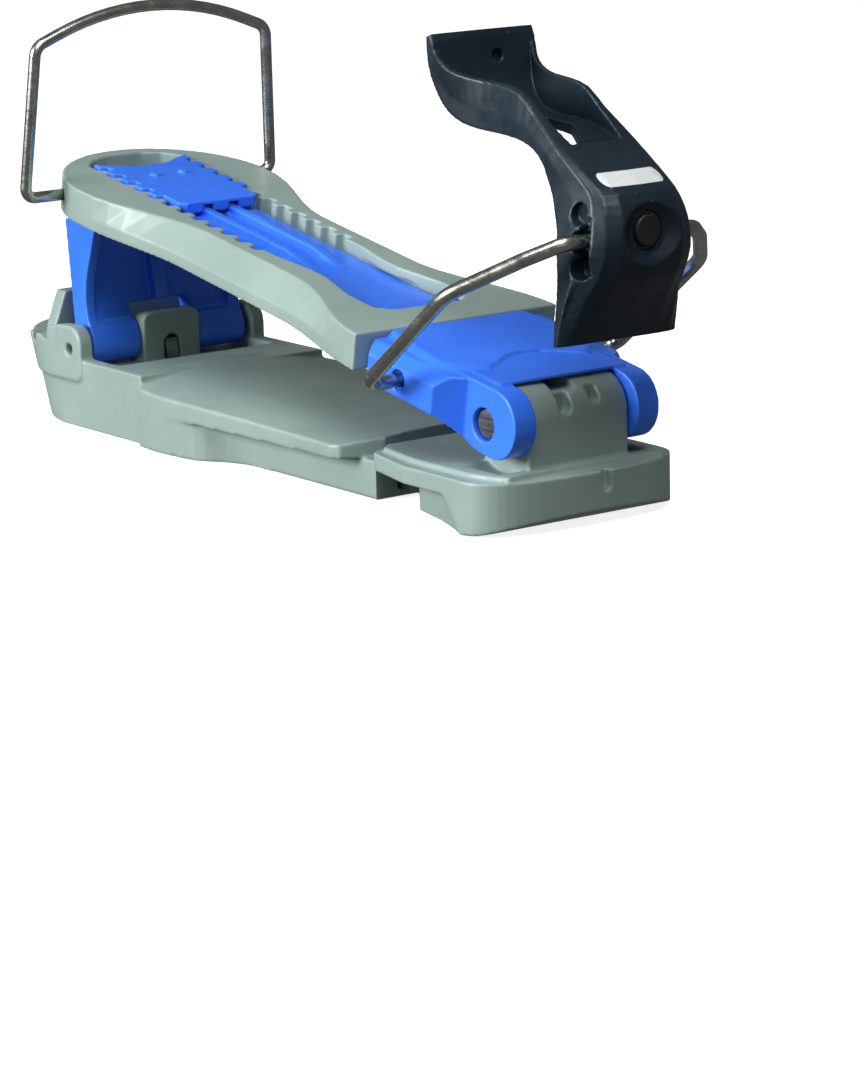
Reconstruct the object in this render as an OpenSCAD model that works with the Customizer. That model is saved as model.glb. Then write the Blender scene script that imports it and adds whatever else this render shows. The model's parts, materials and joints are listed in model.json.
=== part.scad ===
// Climbing adapter for a downhill ski binding. Millimetres, +X forward, +Z up.
// The origin is on the underside of the toe piece, straight below the hinge pin.
// The base clips into the ski binding like a boot sole. The boot stands on a
// hinged plate, held by a toe bail with a lever and by a heel bail.

/* [Hinge] */
// Height of the hinge pin above the underside
pin_z = 28.4; // [28:0.1:29]
// Angle of the boot plate, heel end up
tilt = 9.88; // [9.5:0.02:10]
// Radius of the hinge pin
pin_r = 3.5; // [3:0.1:3.6]
// Radius of the tower's round top
tower_r = 9.9; // [9.6:0.1:10]
// Half width of the tower
tower_half = 17.1; // [16.5:0.1:17.2]
// Half width across the toe plate's ears
ear_half = 24.8; // [24:0.1:25.2]

/* [Toe piece] */
// Half width of the toe piece, which a boot toe shares
toe_half = 34.5; // [34:0.1:35]
// Where the round front of the toe starts, ahead of the hinge
toe_round_x = 2; // [1:0.5:4]
// Length of the round front of the toe
toe_round = 15.5; // [14:0.5:18]
// Top of the toe ledge
toe_ledge_z = 14.8; // [14.4:0.1:15]
// Underside of the flange behind the toe
flange_z = 9.8; // [9.6:0.1:10.4]
// Rise of the underside at the very tip
toe_rocker = 4.1; // [3:0.1:5]
// Rear end of the flange
flange_rear = -46; // [-47:0.5:-42]
// Top of the raised pad
pad_z = 16.2; // [15.6:0.1:16.6]

/* [Heel piece] */
// Half width of the heel piece
heel_half = 33; // [32:0.1:33.4]
// Slope of the heel's rear face, outward as it rises
heel_slope = 21; // [16:1:22]
// Top of the heel piece beside the riser
heel_top_z = 20.7; // [20:0.1:21]
// Top of the heel ledge
heel_ledge_z = 25.4; // [24:0.1:26]
// Top of the rear wall behind the riser
heel_wall_z = 38.7; // [36:0.1:40]

/* [Slide rail] */
// Half width of the rail
rail_half = 18; // [17:0.1:18.2]
// Underside of the rail
rail_low = 2.2; // [2:0.1:2.4]
// Top of the rail
rail_high = 9.2; // [9:0.1:9.3]
// How far the heel piece can slide back
slide_travel = 35; // [20:1:36]

/* [Riser] */
// Position of the riser pin along the base
riser_x = -196.2; // [-198:0.1:-195]
// Height of the riser pin
riser_z = 23.6; // [23.4:0.1:24]
// Half width of the riser
riser_half = 27.6; // [27:0.1:27.8]
// Distance from the riser pin to the riser's top
riser_reach = 39.7; // [39:0.1:39.9]

/* [Heel plate] */
// Rear end of the heel plate, along the plate from the hinge
plate_rear = -225; // [-226:0.5:-224]
// Front end of the heel plate
plate_front = -46.2; // [-47:0.1:-46]
// Half width at the heel
plate_half = 34; // [33:0.1:35]
// Half width of the waist at the top edge
waist_top = 20.8; // [20.4:0.1:22]
// Half width of the waist at the bottom edge
waist_low = 28.5; // [27:0.1:30]
// Underside of the heel plate above the hinge line
plate_low = 1.8; // [1.6:0.1:2.2]
// Top of the heel plate above the hinge line
plate_top = 12.4; // [12.2:0.1:12.8]

/* [Tongue and lock] */
// Half width of the tongue
tongue_half = 14; // [13:0.1:14]
// Pitch of the length teeth
tooth_pitch = 7.8; // [7:0.1:8]
// Depth of the length teeth
tooth_deep = 2.6; // [2:0.1:3]
// Clearance round the lock's teeth
tooth_gap = 0.5; // [0.45:0.05:0.6]

/* [Bails and lever] */
// Radius of the toe bail's wire
toe_wire_r = 2; // [1.8:0.1:2.2]
// Radius of the heel bail's wire
heel_wire_r = 1.75; // [1.6:0.05:1.8]
// Half width of the lever at its foot
lever_half = 20.2; // [19.6:0.1:20.4]
// Radius of the button
button_r = 4.3; // [4:0.1:4.6]
// Travel of the button
button_travel = 2; // [1:0.1:2]

/* [Hidden] */
$fn = 48;
e = 0.01;

grey = [0.66, 0.73, 0.70];
blue = [0.16, 0.40, 0.95];
dark = [0.20, 0.24, 0.27];
black = [0.06, 0.06, 0.07];
steel = [0.72, 0.72, 0.68];

run_gap = 0.05;     // radial running clearance of pins and wires
side_gap = 0.3;     // gap beside parts that move past each other
wall = 3;           // wall of the moulded shells
bush_r = 5.2;       // outer radius of the hinge bushes
bush_len = 8;
head_r = 4.1;       // head of the hinge pin
head_recess_r = 4.65;
riser_pin_r = 1.8;
rail_rear = -152;
rail_front = -3.5;
base_front = -48;   // front face of the heel piece's lower body
clamp_x = -80;      // clamp screw at the shortest setting

toe_bail_x = -28;   // axis of the toe bail in the toe plate
toe_bail_z = 37.6;
heel_bail_x = -199.7;
heel_bail_z = 70.5;
lever_x = 31.8;     // axis of the lever on the toe bail
lever_z = 80.3;
knob_x = 42.4;      // lever front at the button
knob_z = 82.5;

lock_front = -165;  // lock, along the plate from the hinge
lock_rear = -210;
lock_axis_u = -167.5;
lock_axis_w = 10.6;
rack_start = -210.6;
rack_teeth = 12;

// ---- shared functions and modules ----

// Points of an arc round [cx, cy] from angle a to angle b
function arc(cx, cy, r, a, b, n = 8) =
    [for (i = [0 : n]) [cx + r * cos(a + (b - a) * i / n), cy + r * sin(a + (b - a) * i / n)]];
// Smooth blend from 0 to 1 as t runs from 0 to 1
function ease(t) = (1 - cos(180 * min(max(t, 0), 1))) / 2;
// A half outline and its mirror image as one closed outline
function both_sides(p) = concat(p,
    [for (i = [len(p) - 1 : -1 : 0]) if (abs(p[i][1]) > 0.001) [p[i][0], -p[i][1]]]);
// A smooth curve through the points of p, n steps to each span
function spline_at(a, b, c, d, t) =
    0.5 * (2 * b + (c - a) * t + (2 * a - 5 * b + 4 * c - d) * t * t
        + (3 * b - a - 3 * c + d) * t * t * t);
function smooth(p, n = 4) = concat(
    [for (i = [0 : len(p) - 2], k = [0 : n - 1])
        spline_at(p[max(i - 1, 0)], p[i], p[i + 1], p[min(i + 2, len(p) - 1)], k / n)],
    [p[len(p) - 1]]);

// Side profile in X and Z, extruded from y0 to y1
module side(points, y0, y1) {
    translate([0, y1, 0]) rotate([90, 0, 0]) linear_extrude(y1 - y0) polygon(points);
}
// Plan outline extruded from z0 to z1
module slab(points, z0, z1) {
    translate([0, 0, z0]) linear_extrude(z1 - z0) polygon(points);
}
// Cylinder along Y from y0 to y1
module rod_y(x, z, r, y0, y1) {
    translate([x, y1, z]) rotate([90, 0, 0]) cylinder(r = r, h = y1 - y0);
}
module block(x0, x1, y0, y1, z0, z1) {
    translate([x0, y0, z0]) cube([x1 - x0, y1 - y0, z1 - z0]);
}
// The boot plate's own frame: origin on the hinge pin, X along the plate
module on_plate() {
    translate([0, 0, pin_z]) rotate([0, tilt, 0]) children();
}
module both_y() {
    children();
    mirror([0, 1, 0]) children();
}
// Round wire of radius r along a route; bend lists the bend radius at each of its points
function unit(v) = v / norm(v);
function way(p, i) = unit(p[i + 1] - p[i]);
function turn(p, i) = acos(way(p, i - 1) * way(p, i));
function trim(p, i, bend) = i == 0 || i == len(p) - 1 ? 0 : bend[i] * tan(turn(p, i) / 2);
module wire(p, r, bend) {
    lap = 0.05;
    for (i = [0 : len(p) - 2]) {
        d = way(p, i);
        start = p[i] + d * (trim(p, i, bend) - lap);
        length = norm(p[i + 1] - p[i]) - trim(p, i, bend) - trim(p, i + 1, bend) + 2 * lap;
        translate(start) rotate([0, acos(d[2]), atan2(d[1], d[0])]) cylinder(r = r, h = length);
    }
    for (i = [1 : len(p) - 2]) {
        d = way(p, i - 1);
        x = -unit(way(p, i) - d * (d * way(p, i)));
        z = cross(x, d);
        c = p[i] - d * trim(p, i, bend) - x * bend[i];
        multmatrix([[x[0], d[0], z[0], c[0]], [x[1], d[1], z[1], c[1]], [x[2], d[2], z[2], c[2]],
            [0, 0, 0, 1]])
            rotate_extrude(angle = turn(p, i)) translate([bend[i], 0]) circle(r = r - 0.01);
    }
}
// A half route and its mirror image as one route
function both_ends(p) = concat(p,
    [for (i = [len(p) - 1 : -1 : 0]) if (p[i][1] > 0.001) [p[i][0], -p[i][1], p[i][2]]]);

// ---- base, toe end ----

// Rather square round of the toe
function toe_tip(inset) =
    [for (a = [84 : -7 : 0])
        [toe_round_x + (toe_round - inset) * pow(cos(a), 0.8),
         (toe_half - inset) * pow(sin(a), 0.8)]];
function flange_half(inset) = concat(
    [[flange_rear + inset / 2, 27 - inset], [flange_rear + 3, 30.2 - inset],
     [-24, toe_half - inset], [toe_round_x, toe_half - inset]], toe_tip(inset));
toe_body_half = concat([[-30, 24.5], [-16, 27.7], [-4, 31.9], [1.6, toe_half]], toe_tip(0));
pad_half = concat([[flange_rear + 1, 24], [flange_rear + 4, 27.5], [-24, 30.6], [-2, 30.6]],
    arc(-2, 0, 30.6, 84, 60, 2), [[12, 20], [12.5, 0]]);

module rocker_cut() {
    r = (toe_round * toe_round + toe_rocker * toe_rocker) / (2 * toe_rocker);
    difference() {
        block(toe_round_x, toe_round_x + 30, -50, 50, -1, toe_rocker + 3);
        rod_y(toe_round_x, r - 0.02, r, -60, 60, $fn = 96);
    }
}

module tower() {
    block(-tower_r, tower_r, -tower_half, tower_half, toe_ledge_z - 1, pin_z);
    rod_y(0, pin_z, tower_r, -tower_half, tower_half, $fn = 96);
}

module tower_grooves() {
    block(-tower_r - 1, tower_r + 1, -6.2, 1.8, pin_z + 7.2, pin_z + 12);
    // two notches in the front edge: place across, height of the bottom, radius
    for (g = [[-4, 3.4, 2.2], [6.4, 4.8, 1.7]]) {
        translate([tower_r - 4, g[0], pin_z + g[1]]) rotate([0, 90, 0]) cylinder(r = g[2], h = 6);
        block(tower_r - 4, tower_r + 4, g[0] - g[2] + 0.02, g[0] + g[2] - 0.02, pin_z + g[1],
            pin_z + 12);
    }
}

module rail_screw_shapes(grow) {
    for (x = [-24, -13]) translate([x, 0, 0.3]) {
        cylinder(r = 2 + grow, h = 8.2);
        cylinder(r1 = 4 + grow, r2 = 2 + grow, h = 1.9);
    }
}

module front_base() {
    color(grey) difference() {
        union() {
            slab(both_sides(toe_body_half), 0, toe_ledge_z);
            slab(both_sides(flange_half(0)), flange_z, toe_ledge_z);
            // web that leads each side wall back under the flange
            intersection() {
                slab(both_sides(flange_half(0)), 0, flange_z + e);
                both_y() side([[-6.5, flange_z + e], [-4.7, 8.5], [1.2, 0], [6, 0], [6, flange_z + e]],
                    27, toe_half + 1);
            }
            slab(both_sides(pad_half), toe_ledge_z - e, pad_z);
            tower();
        }
        rocker_cut();
        tower_grooves();
        rod_y(0, pin_z, pin_r + 0.6, -30, 30);
        both_y() rod_y(0, pin_z, bush_r, tower_half - bush_len, tower_half + 1);
        // hollows that the ears turn in
        both_y() rod_y(0, pin_z, 14.6, tower_half, ear_half + 0.7, $fn = 96);
        block(-60, rail_front, -rail_half, rail_half, rail_low, rail_high);
        // small locating notch in the front wall
        block(14.6, 30, 2, 5, 10.5, toe_ledge_z + 1);
        translate([14.6, 3.5, 10.5]) rotate([0, 90, 0]) cylinder(r = 1.5, h = 10);
        rail_screw_shapes(0.05);
        translate([-24, 0, -1]) cylinder(r = 4.1, h = 1.35);
        translate([-13, 0, -1]) cylinder(r = 4.1, h = 1.35);
    }
}

module rail() {
    slot = 3;
    color(black) difference() {
        block(rail_rear, rail_front, -rail_half, rail_half, rail_low, rail_high);
        // long slot for the clamp screw
        block(clamp_x - slide_travel - 3, clamp_x + 3, -slot, slot, 0, 12);
        // notches of the length scale on both edges
        for (i = [0 : 13]) both_y()
            block(rail_rear + 20 + 5 * i, rail_rear + 22 + 5 * i, rail_half - 1, rail_half + 1,
                rail_high - 2, rail_high + 1);
        // side grooves that leave an I section
        both_y() block(rail_rear - 1, base_front + 22, rail_half - 2.5, rail_half + 1, 4.4, 6.6);
        rail_screw_shapes(0.05);
    }
}

module rail_screws() {
    color(steel) difference() {
        rail_screw_shapes(0);
        for (x = [-24, -13]) translate([x, 0, -1]) cylinder(r = 1.4, h = 2.6, $fn = 6);
    }
}

module hinge_bushes() {
    color(black) both_y() difference() {
        rod_y(0, pin_z, bush_r, tower_half - bush_len, tower_half);
        rod_y(0, pin_z, pin_r + run_gap, 0, 30);
    }
}

// ---- base, heel end ----

mid_half = [[-165, heel_half - 0.2], [-157.4, heel_half], [-155.8, heel_half + 2.2], [-150, 36],
    [-140, 36.3], [-124, 35.4], [-100, 34.2], [-60, 33], [-57, 31.8], [-51.5, 20], [-51, 0]];
mid_low_half = concat([[-165, heel_half - 0.2], [-157.4, heel_half]],
    smooth([[-155.8, heel_half + 2.2], [-150, 36], [-140, 36.2], [-127, 34.5], [-118, 29],
    [-110, 26.4], [-100, 26], [base_front, 26]], 3));

module mid_crown() {
    r = 183;
    translate([-108, 0, 19.4 - r]) rotate([0, 91.9, 0])
        cylinder(r = r, h = 160, center = true, $fn = 180);
}

module heel_plan(grow = 0, top = heel_ledge_z) {
    half = heel_half + grow;
    translate([-198.6, 0, 0]) rotate([0, -heel_slope, 0])
        translate([0, 0, -20]) cylinder(r = half, h = 80, $fn = 96);
    block(-203, -157, -half, half, 0, top);
}

module ear_profile(y0, y1) {
    side(concat([[-229, 14], [-229, heel_ledge_z - 0.4], [-214, 26.2], [-209.4, 24.8], [-208.8, 29.4],
        [-202, 30.6]], arc(-195.4, 25, 6, 90, 0), [[-189.4, 17.5]],
        arc(-192.9, 17.5, 3.5, 0, -90, 4)), y0, y1);
}

module lug() {
    half = 10.35;
    top = 32.5;
    round_r = 3;
    difference() {
        union() {
            block(-204, -190.3, -half, half, 16, top - round_r);
            block(-204, -190.3, -half + round_r, half - round_r, 16, top);
            both_y() translate([-204, half - round_r, top - round_r]) rotate([0, 90, 0])
                cylinder(r = round_r, h = 13.7);
        }
        // slope at the back, so that the riser can turn
        side([[-205, 26], [-194.6, 33], [-205, 33]], -half - 1, half + 1);
    }
}

module rear_base() {
    color(grey) difference() {
        union() {
            difference() {
                union() {
                    intersection() {
                        heel_plan();
                        block(-300, -157, -60, 60, 0, heel_top_z);
                    }
                    // heel ledge
                    intersection() {
                        heel_plan();
                        block(-300, -219, -60, 60, heel_top_z - e, heel_ledge_z);
                    }
                    intersection() {
                        both_y() ear_profile(29.2, heel_half + 3);
                        heel_plan(0.9, 40);
                    }
                    intersection() {
                        slab(both_sides(mid_half), 11, 30);
                        mid_crown();
                    }
                    slab(both_sides(mid_low_half), 0, 11 + e);
                }
                // pocket that the riser turns in
                block(-211.5, -184, -28.1, 28.1, 17.4, 60);
                // ramp in front of the riser
                side([[-184 - e, 17.4], [-184 - e, 22], [-176, 22], [-176, 20.7]], -28.1, 28.1);
            }
            // rear wall
            intersection() {
                block(-217.5, -211.9, -29, 29, 18, heel_wall_z);
                translate([-219, 0, 0]) rotate([90, 0, 90])
                    linear_extrude(10) polygon([[-28.6, 10], [28.6, 10], [28.6, 28], [24.8, 38],
                        [23.8, heel_wall_z + 1], [-23.8, heel_wall_z + 1], [-24.8, 38],
                        [-28.6, 28]]);
            }
            lug();
        }
        // notch between ledge and rear wall
        block(-220.6, -217.4, -60, 60, 22.8, 60);
        // slot for the detent spring
        block(-194.5, -189, -2.8, 2.8, 17.4, 22.4);
        translate([-194.5, 0, 22.4]) rotate([0, 90, 0]) cylinder(r = 2.8, h = 5.5);
        rod_y(riser_x, riser_z, riser_pin_r, -40, 40);
        // channel that the rail slides in
        block(rail_rear - slide_travel / 3, -40, -rail_half - 0.2, rail_half + 0.2,
            rail_low - 0.2, rail_high + 0.2);
        // clamp screw and its nut
        translate([clamp_x, 0, -1]) cylinder(r = 4.6, h = 4);
        block(clamp_x - 9.2, clamp_x + 9.2, -9.2, 9.2, rail_high, rail_high + 3.7);
    }
}

module clamp_screw() {
    color(steel) translate([clamp_x, 0, 0]) difference() {
        union() {
            translate([0, 0, 0.2]) cylinder(r = 4.4, h = rail_low - 0.3);
            cylinder(r = 2.4, h = 12.4);
        }
        translate([0, 0, -1]) cylinder(r = 2, h = 2.4, $fn = 6);
        translate([0, 0, -1]) cylinder(r = 5, h = 1.2);
    }
}

module clamp_nut() {
    color(steel) difference() {
        block(clamp_x - 9, clamp_x + 9, -9, 9, rail_high + 0.2, rail_high + 3.6);
        translate([clamp_x, 0, 0]) cylinder(r = 2.4, h = 20);
    }
}

module riser_pin() {
    color(steel) rod_y(riser_x, riser_z, riser_pin_r - run_gap, -31.4, 31.4);
}

// Leaf that presses on the riser's knuckles so that it stays up
module detent_spring() {
    color(steel) side([[-194.2, 17.5], [-190.6, 17.5], [-190.2, 20], [-191.2, 22.4],
        [-190.6, 23.8], [-191.1, 24], [-191.8, 22.4], [-190.8, 20], [-191.1, 18],
        [-194.2, 18]], -2.1, 2.1);
}

// ---- riser ----

riser_profile = concat(
    smooth([[-201.2, 24.5], [-202.6, 34], [-204, 48], [-205.4, 62], [-206, 70]], 2),
    smooth([[-186.8, 70], [-188.6, 61.5], [-191.4, 53], [-194.2, 45.5], [-195.2, 39],
        [-194.2, 32], [-191.4, 26.5], [-191, riser_z]], 3));

module riser_hollow() {
    // front recess between the side walls, with a rounded back
    side(concat([[-180, 29], [-191, 29], [-194.6, 30.8]],
        smooth([[-197.2, 33.6], [-199.2, 38.6], [-200.5, 46], [-201, 52], [-200.6, 57.6]], 3),
        [[-197, 60.4], [-180, 60.4]]), -riser_half + 3.2, riser_half - 3.2);
}

module riser() {
    color(blue) difference() {
        union() {
            difference() {
                side(riser_profile, -riser_half, riser_half);
                riser_hollow();
            }
            rod_y(riser_x, riser_z, 5.2, -riser_half, riser_half);
            // centre rib
            intersection() {
                side(riser_profile, -2.2, 2.2);
                side([[-203, 33], [-194, 33], [-195.4, 40], [-197.4, 48], [-200, 53], [-203, 53]],
                    -2.2, 2.2);
            }
        }
        // room for the centre lug
        rod_y(riser_x, riser_z, 12.2, -10.7, 10.7, $fn = 96);
        rod_y(riser_x, riser_z, riser_pin_r + 0.02, -40, 40);
        // round top that just clears the heel plate as it folds
        difference() {
            block(-260, -140, -40, 40, riser_z, 90);
            rod_y(riser_x, riser_z, riser_reach, -50, 50, $fn = 180);
        }
    }
}

// ---- boot plate, toe end ----

toe_plate_half = [[-45.8, 29], [-43, 32.5], [-13.5, 32.5], [-7.5, ear_half], [1.6, ear_half]];
panel_half = [[-45.9, 25], [-38, 26.5], [-18, 29], [-14.5, 28], [-6, 20.5], [-4.4, 16]];
panel_top_half = [[-45.9, 22.6], [-38, 23.9], [-19.5, 26.4], [-17.8, 25.8], [-10.2, 16.8], [-9.8, 13]];
toe_plate_low = [[-45.8, -0.6], [-13.5, -0.7], [-10, -3.9], [-7.1, -6.8], [-3, -7.9], [1.6, -8.2]];

module ear_outline() {
    ear_r = 8.2;
    front_r = 9.6;
    both_y() side(concat([[-21, 11.2], [-21, -0.6], [-13.45, -0.7], [-9.95, -3.9], [-7.05, -6.8],
        [-3, -7.9]], [[0, -ear_r]], arc(4.2, 1.4, front_r, -90, 90, 16)),
        tower_half + side_gap + 0.02, ear_half);
}

module toe_plate() {
    tongue_rear = -203;
    lip_r = tower_r + 0.3;
    color(blue) difference() {
        union() {
            on_plate() difference() {
                union() {
                    intersection() {
                        slab(both_sides(toe_plate_half), -9, 10.6);
                        side(concat(toe_plate_low, [[1.6, 11], [-45.8, 11]]), -33, 33);
                    }
                    // raised panel with bevelled edges, and the lip over the tower
                    hull() {
                        slab(both_sides(panel_half), 9.8, 10.4);
                        slab(both_sides(panel_top_half), 12, 12.3);
                    }
                    slab(both_sides([[-20, 15], [-14, 21.5], [1.6, 21.5]]), 8, 11.6);
                    // part that reaches under the heel plate
                    slab(both_sides([[-72, 26], [-70, 28], [-44, 28]]), 3.2, 9.2);
                    // tongue with its two ribs
                    slab(both_sides([[tongue_rear, tongue_half - 3], [tongue_rear + 4, tongue_half],
                        [-60, tongue_half]]), 5.6, 8.6);
                    both_y() side([[lock_front - 5, 8.5], [lock_front - 5, 10.9], [-122, 10.9],
                        [-106, 8.55]], 3.1, 6.1);
                    ear_outline();
                }
                // hollow from below
                slab(both_sides([[-41.5, 26.5], [-39, 28.5], [-15.5, 28.5], [-12.8, 24]]), -2, 7.6);
                slab(both_sides([[-69, 24.5], [-41, 24.5]]), 2, 6.2);
                // slanted edges of the side walls
                both_y() translate([0, 32.5, 7.6]) rotate([-38, 0, 0])
                    block(-50, -6, -9, 12, 0, 6);
                // holes for the lock's pin, slot for the leg of its spring
                rod_y(lock_axis_u, lock_axis_w, 1.2, -8, 8);
                block(lock_axis_u - 1, lock_axis_u + 8, -1, 1, 5, 9);
            }
            // bosses for the toe bail
            both_y() rod_y(toe_bail_x, toe_bail_z, 4, 21, 30);
        }
        // shallow valley in the middle of the panel's front edge
        on_plate() slab(both_sides([[-17.2, 0.5], [-16.2, 5.6], [-9.4, 16.8], [4, 16.8]]), 11.62, 13);
        // room for the tower as the plate lifts
        on_plate() side(concat([[-14, -20], [-14, -0.55], [-lip_r - 0.2, -0.55],
            [-lip_r - 0.2, 0]], arc(0, 0, lip_r, 178, 90, 12), [[0, lip_r + 0.45], [20, lip_r + 0.45], [20, -20]]),
            -tower_half - side_gap, tower_half + side_gap);
        // hinge pin, head recess and ring recess
        rod_y(0, pin_z, pin_r, -30, 30);
        both_y() rod_y(0, pin_z, head_recess_r, ear_half - 3.2, 30);
        // toe bail holes
        both_y() rod_y(toe_bail_x, toe_bail_z, toe_wire_r + run_gap, 20, 40);
        both_y() rod_y(toe_bail_x, toe_bail_z, toe_wire_r + 0.9, 31, 40);
        // tongue screws
        on_plate() both_y() translate([-58, 19.5, -5]) cylinder(r = 1.6, h = 13.4);
    }
}

module hinge_pin() {
    color(steel) union() {
        rod_y(0, pin_z, pin_r, -ear_half + 1.4, ear_half - 1.3);
        rod_y(0, pin_z, head_r, -ear_half + 1.3, -ear_half + 3.2);
    }
}

module pin_ring() {
    color(steel) difference() {
        rod_y(0, pin_z, head_recess_r - 0.15, ear_half - 3.2, ear_half - 2.2);
        rod_y(0, pin_z, pin_r, 0, 40);
    }
}

module tongue_screws() {
    color(steel) on_plate() both_y() translate([-58, 19.5, 0]) {
        translate([0, 0, 4]) cylinder(r = 1.6, h = 4.4);
        difference() {
            translate([0, 0, 4]) cylinder(r = 2.8, h = 2.2);
            translate([0, 0, 3]) cylinder(r = 1.1, h = 2, $fn = 6);
        }
    }
}

// ---- boot plate, heel end ----

heel_centre = plate_rear + plate_half;
core_half = 19.4;   // straight middle of the plate, inside the waist
stations = concat([heel_centre], [for (u = [heel_centre + 7 : 7 : plate_front - 3]) u],
    [plate_front]);
function low_half(u) =
    plate_half + (waist_low - plate_half) * ease((u + 190) / 48)
        + (35 - waist_low) * ease((u + 92) / 46);
function top_half(u) =
    plate_half + (waist_top - plate_half) * ease((u + 190) / 50)
        + (35 - waist_top) * ease((u + 96) / 50);

// Side of the plate with its bevel, from the straight middle out to the edge
module waist_side(z0, crease, z1) {
    n = len(stations);
    in = core_half - 0.4;
    polyhedron(
        points = [for (u = stations) each [[u, in, z0], [u, low_half(u), z0],
            [u, low_half(u), crease], [u, top_half(u), z1], [u, in, z1]]],
        faces = concat([[0, 1, 2, 3, 4]], [[for (k = [4 : -1 : 0]) (n - 1) * 5 + k]],
            [for (i = [0 : n - 2], k = [0 : 4])
                let (a = i * 5 + k, b = i * 5 + (k + 1) % 5) [a, b + 5, b]],
            [for (i = [0 : n - 2], k = [0 : 4])
                let (a = i * 5 + k, b = i * 5 + (k + 1) % 5) [a, a + 5, b + 5]]));
}

// One side of the toothed opening; grow moves the edge outward
function tooth(i, grow) = let (u = rack_start + i * tooth_pitch, y = tongue_half + 0.4 + grow)
    [[u, y + tooth_deep], [u + 0.44 * tooth_pitch, y + tooth_deep],
     [u + 0.56 * tooth_pitch, y], [u + 0.88 * tooth_pitch, y]];
rack_half = concat([[-220, 6], [-217.4, 12.4], [-213, 16.6]],
    [for (i = [0 : rack_teeth - 1]) each tooth(i, 0)],
    [[-114, tongue_half + 0.4], [-100, tongue_half - 1.6], [-92, tongue_half - 1.6],
     [-76, tongue_half + 2], [-64, tongue_half + 2], [-60, tongue_half - 3]]);
lock_half = concat([[lock_rear + 5, 6], [lock_rear + 1, 12.6]],
    [for (i = [0 : 4]) each tooth(i, -tooth_gap)], [[lock_front - 2, tongue_half],
     [lock_front, tongue_half - 2]]);
cavity_half = concat(arc(heel_centre, 0, plate_half - wall + 0.3, 172, 90, 8),
    [[-175, 30], [-166, 26]]);

module heel_plate() {
    band = 3.8;
    ceiling = plate_top - 2.7;
    block_half = tongue_half + 4.2;
    color(grey) on_plate() difference() {
        union() {
            difference() {
                union() {
                    slab(both_sides(concat(arc(heel_centre, 0, plate_half, 180, 90, 20),
                        [[heel_centre + 1, core_half], [plate_front, core_half]])),
                        plate_low, plate_top);
                    both_y() waist_side(plate_low, plate_low + band, plate_top);
                }
                // hollow heel, open below, left and right of the channel
                difference() {
                    slab(both_sides(cavity_half), 0, ceiling);
                    block(-230, -150, -block_half, block_half, -1, 20);
                }
                // room for the toe plate at the front
                slab(both_sides([[-74, 28.3], [-40, 28.3]]), 0, 9.55);
            }
            heel_bail_bosses();
        }
        // channel of the tongue, then the toothed opening above it
        block(-206, -40, -tongue_half - side_gap, tongue_half + side_gap, 5.3, 9.4);
        slab(both_sides(rack_half), 6.1, plate_top + 2);
        // shallow groove under the waist
        block(-160, -78, -10, 10, 0, 3.4);
        heel_bail_bores();
    }
}

// Position of the heel bail in the plate's own frame
bail_u = heel_bail_x * cos(tilt) - (heel_bail_z - pin_z) * sin(tilt);
bail_w = (heel_bail_z - pin_z) * cos(tilt) + heel_bail_x * sin(tilt);

module heel_bail_bosses() {
    intersection() {
        both_y() rod_y(bail_u, bail_w, 3.4, 20.5, 40);
        translate([heel_centre, 0, 0]) cylinder(r = plate_half - 1, h = plate_top - 1);
    }
}
module heel_bail_bores() {
    both_y() rod_y(bail_u, bail_w, heel_wire_r + run_gap, 21, 40);
}

module lock_pin() {
    color(steel) on_plate() rod_y(lock_axis_u, lock_axis_w, 1.2, -11.4, 11.4);
}

// Coil round the lock's pin that presses the lock down
module lock_spring() {
    color(steel) on_plate() union() {
        difference() {
            rod_y(lock_axis_u, lock_axis_w, 1.9, -2.4, 2.4);
            rod_y(lock_axis_u, lock_axis_w, 1.25, -3, 3);
        }
        block(lock_axis_u, lock_axis_u + 5.6, -0.4, 0.4, 8.75, 9.3);
        block(lock_axis_u - 9, lock_axis_u, -0.4, 0.4, 11.9, 12.45);
    }
}

module lock() {
    color(blue) on_plate() difference() {
        union() {
            slab(both_sides(lock_half), 10, 13.3);
            both_y() rod_y(lock_axis_u, lock_axis_w, 1.7, 6.5, 10.8);
            // two grip bumps
            for (y = [-5.1, 5.1]) translate([-194, y, 13.2]) cylinder(r = 1.5, h = 0.9);
        }
        // slots for the tongue's ribs
        both_y() block(-171.4, -160, 2.8, 6.4, 8, 12.2);
        rod_y(lock_axis_u, lock_axis_w, 1.2 + run_gap, -20, 20);
        // room for the spring and its leg
        rod_y(lock_axis_u, lock_axis_w, 2.1, -2.7, 2.7);
        block(lock_axis_u - 9.4, lock_axis_u, -0.6, 0.6, 11.7, 12.5);
    }
}

// ---- bails ----

module heel_bail() {
    x = heel_bail_x;
    z = heel_bail_z;
    half = [[x, 23.5, z], [x, 44.65, z], [x + 4.3, 41.4, 116], [x + 4.5, 0, 132.5]];
    color(steel) wire(both_ends(half), heel_wire_r, [0, 3.2, 4.5, 91, 4.5, 3.2, 0]);
}

toe_route = [[toe_bail_x, 22, toe_bail_z], [toe_bail_x, 43.2, toe_bail_z], [9.5, 43.4, 66.8],
    [25, 30, 76.2], [lever_x, 22, lever_z]];

module toe_bail() {
    color(steel) wire(both_ends(toe_route), toe_wire_r, [0, 4.5, 12, 12, 5, 5, 12, 12, 4.5, 0]);
}

// ---- lever ----

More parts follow.
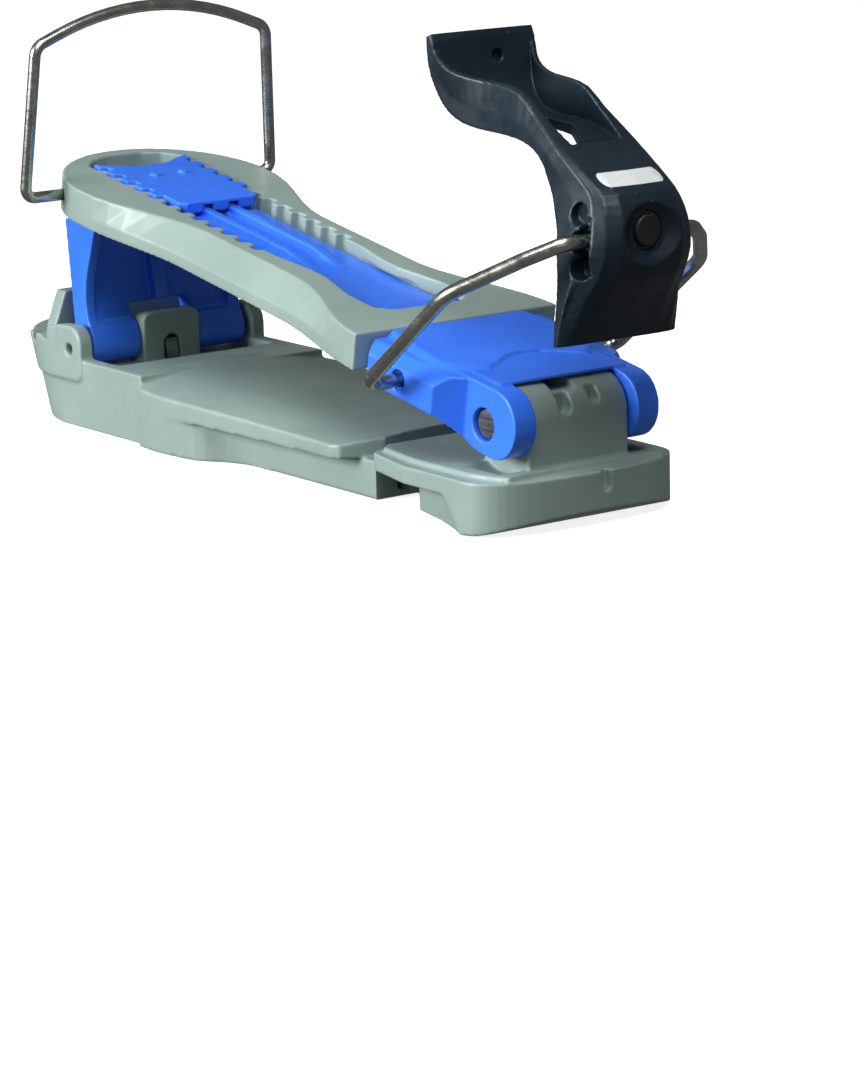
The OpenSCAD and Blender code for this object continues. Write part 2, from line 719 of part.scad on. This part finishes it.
// Sections of the lever from its foot to its handle: back point, front point, half width
// at the back and at the front, and how far the front bulges in the middle
lever_sections = smooth([
    [24.6, 52, 28.4, 52.4, lever_half, lever_half - 0.8, 1.6],
    [24.9, 58.5, 31.6, 58.4, lever_half - 0.3, lever_half - 1.2, 3.6],
    [25, 64.6, 35.6, 64.6, 19.3, 18.2, 6.2],
    [24.4, 70.5, 40, 70.5, 18.5, 17.2, 7],
    [23.6, 76.5, 42.1, 76.8, 18, 16.8, 5.7],
    [22.9, 82, knob_x, knob_z, 17.2, 16.2, 5.8],
    [20.6, 86.6, 41.4, 87.6, 16, 15.4, 6],
    [18.4, 90.5, 38.4, 92.4, 14.9, 14.2, 4.8],
    [16.4, 93.6, 32.8, 96, 14.4, 13.9, 3.4],
    [14.8, 96.6, 26, 99.8, 14.3, 13.8, 2],
    [12.6, 99.4, 19.8, 103.4, 14.1, 13.5, 1],
    [8.7, 101.9, 13.8, 107.4, 13.6, 12.8, 0.6],
    [2.9, 103.5, 7.6, 111.8, 13, 12.1, 0.6],
    [-3, 104.2, 1.2, 116.4, 12.6, 12, 0.6],
    [-9.6, 104.6, -6, 118, 12.5, 12, 0.6],
    [-15.7, 105, -13.5, 118.6, 12.9, 12.5, 0.6],
    [-21.6, 106.2, -20, 119.5, 13.9, 14.2, 0.6],
    [-26.4, 108.9, -24.8, 121, 14.9, 15.9, 0.6],
    [-29.2, 113, -27.2, 123.2, 16, 16.8, 0.6],
    [-31, 118.6, -28.2, 125.6, 17.2, 17.3, 0.6],
    [-31.9, 124, -28.9, 127.8, 17.5, 17.4, 0.6],
    [-32.2, 128.8, -29.7, 129.9, 17.5, 17.3, 0.6]], 2);
// Floor of the trough, just above the back face
trough_floor = smooth([[-29.3, 131], [-28.9, 126], [-28.2, 121], [-26.4, 115.4], [-23, 111.4],
    [-17.5, 108.8], [-8, 107.4], [2, 106.8], [9, 105.6], [14.4, 103.8], [18.6, 103.2]], 3);
trough_half = [[-45, 30], [-29.4, 30], [-28.4, 15.5], [-26, 14.3], [-20, 12.2], [-12, 10.3],
    [0, 9.9], [12, 9.3], [19, 8.4], [22.5, 6]];

// Ring of points of one section, from the back round the front: share of the way to the
// front, then share of the half width
function lever_ring(s) =
    let (deep = norm([s[2] - s[0], s[3] - s[1]]), c = s[6] / deep)
    [for (q = [[0, -1], [0.4, -1], [1 - c, -2], [1 - 0.45 * c, -1.87], [1 - 0.12 * c, -1.6], [1, 0],
        [1 - 0.12 * c, 1.6], [1 - 0.45 * c, 1.87], [1 - c, 2], [0.4, 1], [0, 1]])
        [s[0] + (s[2] - s[0]) * q[0], abs(q[1]) > 1 ? sign(q[1]) * (abs(q[1]) - 1) * s[5] : q[1] * s[4],
         s[1] + (s[3] - s[1]) * q[0]]];

module lever_body() {
    n = len(lever_sections);
    m = 11;
    polyhedron(
        points = [for (s = lever_sections) each lever_ring(s)],
        faces = concat([[for (k = [0 : m - 1]) k]], [[for (k = [m - 1 : -1 : 0]) (n - 1) * m + k]],
            [for (i = [0 : n - 2], k = [0 : m - 1])
                let (a = i * m + k, b = i * m + (k + 1) % m) [a, b + m, b]],
            [for (i = [0 : n - 2], k = [0 : m - 1])
                let (a = i * m + k, b = i * m + (k + 1) % m) [a, a + m, b + m]]));
}

module lever() {
    color(dark) difference() {
        lever_body();
        // trough between the two side walls
        intersection() {
            side(concat(trough_floor, [[24, 108], [10, 140], [-45, 145], [-45, 131]]), -31, 31);
            slab(both_sides(trough_half), 95, 150);
        }
        // window in the trough's floor, and a shallow pocket in the handle
        slab([[-8, -4], [-8, 4.6], [3, 4], [10, 0.5], [16.6, -4.4], [17, -7.4], [8, -8]], 90, 112);
        translate([-31, 4, 122.5]) rotate([0, 90, 0]) cylinder(r = 1.7, h = 3.4);
        // slots on both sides with three seats for the bail
        both_y() {
            for (s = [[lever_x - 1.4, 87.3], [lever_x, lever_z], [lever_x + 0.9, 73.3]])
                rod_y(s[0], s[1], 2.9, 13.4, 30);
            block(lever_x, lever_x + 4, 13.4, 30, 71.4, 86.6);
        }
        rod_y(lever_x, lever_z, toe_wire_r + run_gap, -30, 30);
        // round recess and bore of the button
        translate([0, 0, knob_z]) rotate([0, 90, 0]) {
            translate([0, 0, knob_x - 3.2]) cylinder(r1 = 6, r2 = 11.4, h = 3.6);
            translate([0, 0, knob_x - 4.7]) cylinder(r = 5.2, h = 1.6);
            translate([0, 0, 34.2]) cylinder(r = button_r + 0.08, h = 3.7);
        }
        // hollow behind the foot
        side([[20, 55], [26, 56], [27.6, 62], [30, 68], [27, 71.5], [20, 71.5]], -14.5, 14.5);
    }
}

module lever_inserts() {
    color(black) both_y() block(lever_x + 2.4, lever_x + 3.9, 13.5, 14.9, 71.6, 86.4);
}

module button_ring() {
    color(black) translate([knob_x - 4.6, 0, knob_z]) rotate([0, 90, 0]) difference() {
        cylinder(r = 5.1, h = 0.9);
        translate([0, 0, -1]) cylinder(r = button_r + 0.1, h = 3);
    }
}

module button_spring() {
    color(steel) translate([34.2, 0, knob_z]) rotate([0, 90, 0]) difference() {
        cylinder(r = 3.6, h = 1.9);
        translate([0, 0, -1]) cylinder(r = 2.8, h = 6);
    }
}

module button() {
    front = knob_x - 2.6;
    rear = 34.2 + button_travel + 0.1;
    color(black) translate([0, 0, knob_z]) rotate([0, 90, 0]) difference() {
        union() {
            translate([0, 0, rear]) cylinder(r = button_r, h = front - rear);
            translate([0, 0, front - e]) cylinder(r1 = button_r, r2 = button_r - 0.5, h = 0.4);
        }
        // hollow that goes over the spring
        translate([0, 0, rear - 1]) cylinder(r = 3.75, h = 1 + 1.9);
    }
}

front_base();
rail();
rail_screws();
hinge_bushes();
rear_base();
clamp_screw();
clamp_nut();
riser_pin();
detent_spring();
riser();
toe_plate();
hinge_pin();
pin_ring();
tongue_screws();
heel_plate();
lock_pin();
lock_spring();
lock();
heel_bail();
toe_bail();
lever();
lever_inserts();
button_spring();
button_ring();
button();
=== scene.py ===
import bpy
import bmesh
import json
import math
from mathutils import Matrix, Vector


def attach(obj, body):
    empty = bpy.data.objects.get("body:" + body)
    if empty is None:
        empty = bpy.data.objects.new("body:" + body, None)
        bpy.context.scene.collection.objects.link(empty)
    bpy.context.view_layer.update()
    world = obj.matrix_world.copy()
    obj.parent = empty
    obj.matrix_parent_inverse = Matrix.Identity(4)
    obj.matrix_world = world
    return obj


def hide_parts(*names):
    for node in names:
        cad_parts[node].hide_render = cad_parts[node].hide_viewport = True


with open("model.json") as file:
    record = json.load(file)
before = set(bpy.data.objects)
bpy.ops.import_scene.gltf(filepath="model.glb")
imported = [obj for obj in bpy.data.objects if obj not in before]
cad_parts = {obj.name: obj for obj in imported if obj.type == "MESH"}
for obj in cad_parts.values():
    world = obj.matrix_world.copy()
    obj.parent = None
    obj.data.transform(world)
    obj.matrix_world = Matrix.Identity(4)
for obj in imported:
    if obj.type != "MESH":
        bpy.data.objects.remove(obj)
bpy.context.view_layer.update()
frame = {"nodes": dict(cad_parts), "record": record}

MM = 0.001              # lengths below are in metres, or in millimetres times MM
GRAIN_DEPTH = 0.12 * MM     # height of the moulded grain
LINE_DEPTH = 0.06 * MM      # height of the lines on drawn or turned steel


# ---------------------------------------------------------------- materials

def new_material(name):
    """Empty node material."""
    m = bpy.data.materials.new(name)
    m.use_nodes = True
    m.node_tree.nodes.clear()
    return m, m.node_tree.nodes, m.node_tree.links


def coords(nodes, links, scale=(1, 1, 1)):
    """Object coordinates, stretched by the scale."""
    tc = nodes.new("ShaderNodeTexCoord")
    mp = nodes.new("ShaderNodeMapping")
    mp.inputs["Scale"].default_value = scale
    links.new(tc.outputs["Object"], mp.inputs["Vector"])
    return mp.outputs["Vector"]


def noise(nodes, links, vec, scale, detail=3.0, rough=0.5):
    n = nodes.new("ShaderNodeTexNoise")
    n.inputs["Scale"].default_value = scale
    n.inputs["Detail"].default_value = detail
    n.inputs["Roughness"].default_value = rough
    links.new(vec, n.inputs["Vector"])
    return n.outputs["Fac"]


def ranged(nodes, links, value, low, high, to_low, to_high):
    """Value mapped from low...high to to_low...to_high."""
    r = nodes.new("ShaderNodeMapRange")
    r.inputs["From Min"].default_value = low
    r.inputs["From Max"].default_value = high
    r.inputs["To Min"].default_value = to_low
    r.inputs["To Max"].default_value = to_high
    links.new(value, r.inputs["Value"])
    return r.outputs["Result"]


def mixed(nodes, links, fac, a, b):
    """Blend of two colours; each is a tuple or a socket."""
    m = nodes.new("ShaderNodeMix")
    m.data_type = "RGBA"
    links.new(fac, m.inputs["Factor"])
    for socket, value in ((m.inputs["A"], a), (m.inputs["B"], b)):
        if isinstance(value, tuple):
            socket.default_value = (*value, 1.0)
        else:
            links.new(value, socket)
    return m.outputs["Result"]


def maths(nodes, links, op, a, b=None):
    """One Math node; a and b are numbers or sockets."""
    m = nodes.new("ShaderNodeMath")
    m.operation = op
    for i, v in enumerate((a, b)):
        if v is None:
            continue
        if isinstance(v, (int, float)):
            m.inputs[i].default_value = v
        else:
            links.new(v, m.inputs[i])
    return m.outputs["Value"]


def plastic(name, dark, light, edge, rough, grain):
    """Moulded plastic: slow mottling, fine grain, paler worn edges and faint scuffs.

    Gives the material, its nodes and links, the shader and the socket of the final colour.
    """
    wear = 0.35
    m, nodes, links = new_material(name)
    out = nodes.new("ShaderNodeOutputMaterial")
    b = nodes.new("ShaderNodeBsdfPrincipled")
    vec = coords(nodes, links)
    slow = noise(nodes, links, vec, 45, 4)
    fine = noise(nodes, links, vec, 1500, 3, 0.6)
    middle = noise(nodes, links, vec, 260, 4, 0.55)
    streak = noise(nodes, links, coords(nodes, links, (60, 420, 300)), 4.5, 4, 0.6)
    base = mixed(nodes, links, ranged(nodes, links, slow, 0.3, 0.7, 0, 1), dark, light)
    scuff = ranged(nodes, links, streak, 0.62, 0.76, 0, 0.10)
    base = mixed(nodes, links, scuff, base, edge)
    geo = nodes.new("ShaderNodeNewGeometry")
    worn = ranged(nodes, links, geo.outputs["Pointiness"], 0.525, 0.60, 0, wear)
    worn = maths(nodes, links, "MULTIPLY", worn, ranged(nodes, links, middle, 0.35, 0.65, 0.3, 1))
    base = mixed(nodes, links, worn, base, edge)
    links.new(base, b.inputs["Base Color"])
    r = ranged(nodes, links, middle, 0.3, 0.7, rough[0], rough[1])
    r = maths(nodes, links, "ADD", r, scuff)
    links.new(r, b.inputs["Roughness"])
    b.inputs["Specular IOR Level"].default_value = 0.5
    bump = nodes.new("ShaderNodeBump")
    bump.inputs["Strength"].default_value = grain
    bump.inputs["Distance"].default_value = GRAIN_DEPTH
    height = maths(nodes, links, "ADD", fine, maths(nodes, links, "MULTIPLY", middle, 0.8))
    links.new(height, bump.inputs["Height"])
    links.new(bump.outputs["Normal"], b.inputs["Normal"])
    links.new(b.outputs["BSDF"], out.inputs["Surface"])
    return m, nodes, links, b, base


def metal(name, dark, light, rough):
    """Drawn or turned steel: fine lines along the work, small blotches of dullness."""
    m, nodes, links = new_material(name)
    out = nodes.new("ShaderNodeOutputMaterial")
    b = nodes.new("ShaderNodeBsdfPrincipled")
    vec = coords(nodes, links)
    lines = noise(nodes, links, coords(nodes, links, (40, 700, 700)), 1.6, 5, 0.6)
    blotch = noise(nodes, links, vec, 160, 5, 0.65)
    fine = noise(nodes, links, vec, 1400, 2)
    base = mixed(nodes, links, ranged(nodes, links, blotch, 0.35, 0.65, 0, 1), dark, light)
    links.new(base, b.inputs["Base Color"])
    b.inputs["Metallic"].default_value = 1.0
    r = ranged(nodes, links, lines, 0.3, 0.7, rough[0], rough[1])
    links.new(maths(nodes, links, "ADD", r, ranged(nodes, links, blotch, 0.55, 0.7, 0, 0.08)),
              b.inputs["Roughness"])
    bump = nodes.new("ShaderNodeBump")
    bump.inputs["Strength"].default_value = 0.12
    bump.inputs["Distance"].default_value = LINE_DEPTH
    links.new(maths(nodes, links, "ADD", lines, maths(nodes, links, "MULTIPLY", fine, 0.5)),
              bump.inputs["Height"])
    links.new(bump.outputs["Normal"], b.inputs["Normal"])
    links.new(b.outputs["BSDF"], out.inputs["Surface"])
    return m


# each plastic: its darker and lighter tone, the tone of worn edges, roughness, grain
GREY = plastic("grey_moulded", (0.245, 0.335, 0.306), (0.288, 0.384, 0.352),
               (0.50, 0.60, 0.56), (0.34, 0.48), 0.14)[0]
BLUE = plastic("blue_moulded", (0.028, 0.165, 0.92), (0.042, 0.203, 0.98),
               (0.16, 0.46, 1.0), (0.28, 0.42), 0.10)[0]
BLACK = plastic("black_moulded", (0.008, 0.009, 0.010), (0.015, 0.016, 0.018),
                (0.06, 0.065, 0.07), (0.34, 0.5), 0.12)[0]
INSERT = plastic("insert_moulded", (0.030, 0.040, 0.046), (0.045, 0.058, 0.066),
                 (0.15, 0.19, 0.21), (0.34, 0.5), 0.08)[0]
RAIL = plastic("black_anodised", (0.010, 0.010, 0.011), (0.020, 0.020, 0.022),
               (0.16, 0.16, 0.17), (0.28, 0.4), 0.06)[0]
WIRE = metal("polished_wire", (0.42, 0.43, 0.37), (0.60, 0.62, 0.55), (0.20, 0.32))
STEEL = metal("turned_steel", (0.22, 0.24, 0.245), (0.36, 0.38, 0.385), (0.24, 0.42))


def lever_material():
    """Dark plastic with a plain printed bar, rounded at its ends, on the lever's front."""
    bar_half = 0.0085       # half length of the bar's straight part
    bar_height = 0.0957     # height of its middle
    bar_edge = (0.00165, 0.00150)   # half width, and where the print is full
    bar_front = (0.0275, 0.0278)    # the print starts in front of this
    m, nodes, links, b, base = plastic(
        "lever_moulded", (0.0060, 0.0140, 0.022), (0.0110, 0.0230, 0.034),
        (0.12, 0.18, 0.22), (0.28, 0.42), 0.10)
    b.inputs["Specular IOR Level"].default_value = 0.35
    tc = nodes.new("ShaderNodeTexCoord")
    xyz = nodes.new("ShaderNodeSeparateXYZ")
    links.new(tc.outputs["Object"], xyz.inputs["Vector"])
    side = maths(nodes, links, "ABSOLUTE", xyz.outputs["Y"])
    along = maths(nodes, links, "SUBTRACT", side, bar_half)
    along = maths(nodes, links, "MAXIMUM", along, 0.0)
    up = maths(nodes, links, "SUBTRACT", xyz.outputs["Z"], bar_height)
    square = maths(nodes, links, "ADD", maths(nodes, links, "MULTIPLY", along, along),
                   maths(nodes, links, "MULTIPLY", up, up))
    distance = maths(nodes, links, "SQRT", square)
    mask = ranged(nodes, links, distance, *bar_edge, 0, 1)
    front = ranged(nodes, links, xyz.outputs["X"], *bar_front, 0, 1)
    mask = maths(nodes, links, "MULTIPLY", mask, front)
    rub = noise(nodes, links, coords(nodes, links), 900, 3, 0.7)
    rub = ranged(nodes, links, rub, 0.30, 0.38, 0.72, 0.95)
    mask = maths(nodes, links, "MULTIPLY", mask, rub)
    printed = mixed(nodes, links, mask, base, (0.72, 0.74, 0.74))
    links.new(printed, b.inputs["Base Color"])
    return m


LEVER = lever_material()


# ---------------------------------------------------------------- helpers

def body_of_node(node):
    """Body that the record puts the node in."""
    for body, names in frame["record"]["behaviour"]["bodies"].items():
        if node in names:
            return body
    return None


def give(obj, material):
    obj.data.materials.clear()
    obj.data.materials.append(material)


def dress(node, material):
    """The CAD piece keeps its mesh; only the material in its slots is better."""
    obj = frame["nodes"][node]
    for slot in obj.material_slots:
        slot.material = material
    if not obj.material_slots:
        obj.data.materials.append(material)
    return obj


def soften(node, material, voxel, rounds):
    """Rounds the piece's edges with modifiers; voxel is in millimetres."""
    obj = dress(node, material)
    remesh = obj.modifiers.new("grain", "REMESH")
    remesh.mode = "VOXEL"
    remesh.voxel_size = voxel * MM
    remesh.use_smooth_shade = True
    smooth = obj.modifiers.new("fillet", "SMOOTH")
    smooth.factor = 0.5
    smooth.iterations = rounds


def tube(name, points, radius, node, material):
    """Round wire along the points, in millimetres, as one mesh with closed ends."""
    sides = 24
    bm = bmesh.new()
    pts = [Vector(p) * MM for p in points]
    rings = []
    normal = None
    for i, p in enumerate(pts):
        t = (pts[min(i + 1, len(pts) - 1)] - pts[max(i - 1, 0)]).normalized()
        if normal is None:
            normal = t.orthogonal().normalized()
        normal = (normal - t * normal.dot(t)).normalized()
        other = t.cross(normal)
        rings.append([bm.verts.new(p + (normal * math.cos(a) + other * math.sin(a)) * radius * MM)
                      for a in (2 * math.pi * k / sides for k in range(sides))])
    for a, b in zip(rings, rings[1:]):
        for k in range(sides):
            f = bm.faces.new((a[k], a[(k + 1) % sides], b[(k + 1) % sides], b[k]))
            f.smooth = True
    bm.faces.new(rings[0][::-1])
    bm.faces.new(rings[-1])
    bmesh.ops.recalc_face_normals(bm, faces=bm.faces)
    mesh = bpy.data.meshes.new(name)
    bm.to_mesh(mesh)
    bm.free()
    obj = bpy.data.objects.new(name, mesh)
    bpy.context.scene.collection.objects.link(obj)
    give(obj, material)
    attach(obj, body_of_node(node))
    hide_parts(node)


def bent(route, radii, steps):
    """Points along a route whose corners are bent to the given radii."""
    pts = [Vector(p) for p in route]
    out = [pts[0]]
    for i in range(1, len(pts) - 1):
        a = (pts[i] - pts[i - 1]).normalized()
        b = (pts[i + 1] - pts[i]).normalized()
        turn = a.angle(b)
        r = radii[i]
        cut = r * math.tan(turn / 2)
        start = pts[i] - a * cut
        inward = (b - a * a.dot(b)).normalized()
        centre = start + inward * r
        for k in range(steps + 1):
            g = turn * k / steps
            out.append(centre - inward * (r * math.cos(g)) + a * (r * math.sin(g)))
    out.append(pts[-1])
    return out


def mirrored(half):
    """Whole route from its half on one side."""
    return half + [(x, -y, z) for x, y, z in reversed(half) if y > 0.001]


def joint_at(name):
    """Place of a joint in the record, in millimetres."""
    for joint in frame["record"]["behaviour"]["joints"]:
        if joint["name"] == name:
            return Vector(joint["pos_m"]) / MM


def beside(centre, steps):
    """Route of one side: steps in X and Z from the centre, and the distance across."""
    return [(centre.x + dx, y, centre.z + dz) for dx, y, dz in steps]


# ---------------------------------------------------------------- the parts

# moulded and machined pieces: size of the remesh in millimetres, rounds of smoothing
soften("front_base", GREY, 0.42, 5)
soften("rear_base", GREY, 0.5, 5)
soften("heel_plate", GREY, 0.4, 3)
soften("riser", BLUE, 0.4, 5)
soften("toe_plate", BLUE, 0.38, 5)
soften("lock", BLUE, 0.26, 3)
soften("lever", LEVER, 0.28, 8)
soften("lever_inserts", INSERT, 0.22, 2)
soften("rail", RAIL, 0.4, 3)
soften("button", BLACK, 0.2, 4)
dress("button_ring", BLACK)
dress("hinge_bushes", BLACK)
soften("hinge_pin", STEEL, 0.22, 3)
for name in ("rail_screws", "clamp_screw", "clamp_nut", "riser_pin", "detent_spring", "pin_ring",
             "tongue_screws", "lock_pin", "lock_spring", "button_spring"):
    dress(name, STEEL)

# bent wires: half of the route in millimetres, radii of the bends, radius of the wire
heel_half = beside(joint_at("heel_bail_swing"),
                   [(0, 23.5, 0), (0, 44.65, 0), (4.3, 41.4, 45.5), (4.5, 0, 62)])
heel_route = bent(mirrored(heel_half), [0, 3.2, 4.5, 91, 4.5, 3.2, 0], 14)
tube("heel_bail_wire", heel_route, 1.75, "heel_bail", WIRE)
toe_half = (beside(joint_at("toe_bail_swing"),
                   [(0, 22, 0), (0, 43.2, 0), (37.5, 43.4, 29.2), (53, 30, 38.6)])
            + beside(joint_at("lever_pivot"), [(0, 22, 0)]))
toe_route = bent(mirrored(toe_half), [0, 4.5, 12, 12, 5, 5, 12, 12, 4.5, 0], 12)
tube("toe_bail_wire", toe_route, 2.0, "toe_bail", WIRE)


# ---------------------------------------------------------------- floor, light, camera

def floor():
    """Plain pale floor just below the part."""
    cells, size, height = 24, 12.0, -0.0002
    bm = bmesh.new()
    grid = [[bm.verts.new((size * (i / cells - 0.5), size * (j / cells - 0.5), height))
             for j in range(cells + 1)] for i in range(cells + 1)]
    for i in range(cells):
        for j in range(cells):
            bm.faces.new((grid[i][j], grid[i + 1][j], grid[i + 1][j + 1], grid[i][j + 1]))
    mesh = bpy.data.meshes.new("floor")
    bm.to_mesh(mesh)
    bm.free()
    obj = bpy.data.objects.new("floor", mesh)
    bpy.context.scene.collection.objects.link(obj)
    m, nodes, links = new_material("floor_paper")
    out = nodes.new("ShaderNodeOutputMaterial")
    b = nodes.new("ShaderNodeBsdfPrincipled")
    vec = coords(nodes, links)
    paper = mixed(nodes, links, noise(nodes, links, vec, 900, 3), (0.88, 0.88, 0.88),
                  (0.92, 0.92, 0.92))
    links.new(paper, b.inputs["Base Color"])
    links.new(paper, b.inputs["Emission Color"])
    b.inputs["Emission Strength"].default_value = 0.9
    b.inputs["Roughness"].default_value = 0.9
    links.new(b.outputs["BSDF"], out.inputs["Surface"])
    give(obj, m)
    # the floor stays white without lighting the part from below
    obj.visible_diffuse = False
    obj.visible_glossy = False


def area(name, place, target, size, power):
    """Soft white light at the place, turned to the target."""
    light = bpy.data.lights.new(name, "AREA")
    light.shape = "RECTANGLE"
    light.size, light.size_y = size
    light.energy = power
    obj = bpy.data.objects.new(name, light)
    bpy.context.scene.collection.objects.link(obj)
    obj.location = place
    obj.rotation_mode = "QUATERNION"
    obj.rotation_quaternion = (Vector(target) - Vector(place)).to_track_quat("-Z", "Y")


floor()
middle = (-0.10, 0, 0.05)
area("key", (-0.65, -2.10, 0.70), middle, (1.1, 0.9), 70)
area("top", (0.22, -0.20, 0.66), (0, 0, 0.04), (0.5, 0.5), 4.2)
area("front", (1.3, -0.5, 0.5), middle, (0.9, 0.7), 0.8)

world = bpy.data.worlds.new("studio")
bpy.context.scene.world = world
world.use_nodes = True
background = world.node_tree.nodes["Background"]
background.inputs["Color"].default_value = (1, 1, 1, 1)
background.inputs["Strength"].default_value = 0.12

camera = bpy.data.cameras.new("camera")
camera.lens = 132.7
camera.sensor_width = 36
camera.clip_start, camera.clip_end = 0.05, 20
view = bpy.data.objects.new("camera", camera)
bpy.context.scene.collection.objects.link(view)
place = Vector((0.8298, -0.6542, 0.2392))
aim = Vector((-0.0700, 0.0091, -0.0206))
roll = math.radians(-1.19)
back = (place - aim).normalized()
right = Vector((0, 0, 1)).cross(back).normalized()
up = back.cross(right)
up, right = (up * math.cos(roll) - right * math.sin(roll),
             right * math.cos(roll) + up * math.sin(roll))
view.matrix_world = Matrix((
    (right.x, up.x, back.x, place.x),
    (right.y, up.y, back.y, place.y),
    (right.z, up.z, back.z, place.z),
    (0, 0, 0, 1)))
bpy.context.scene.camera = view
bpy.context.scene.view_settings.view_transform = "Standard"
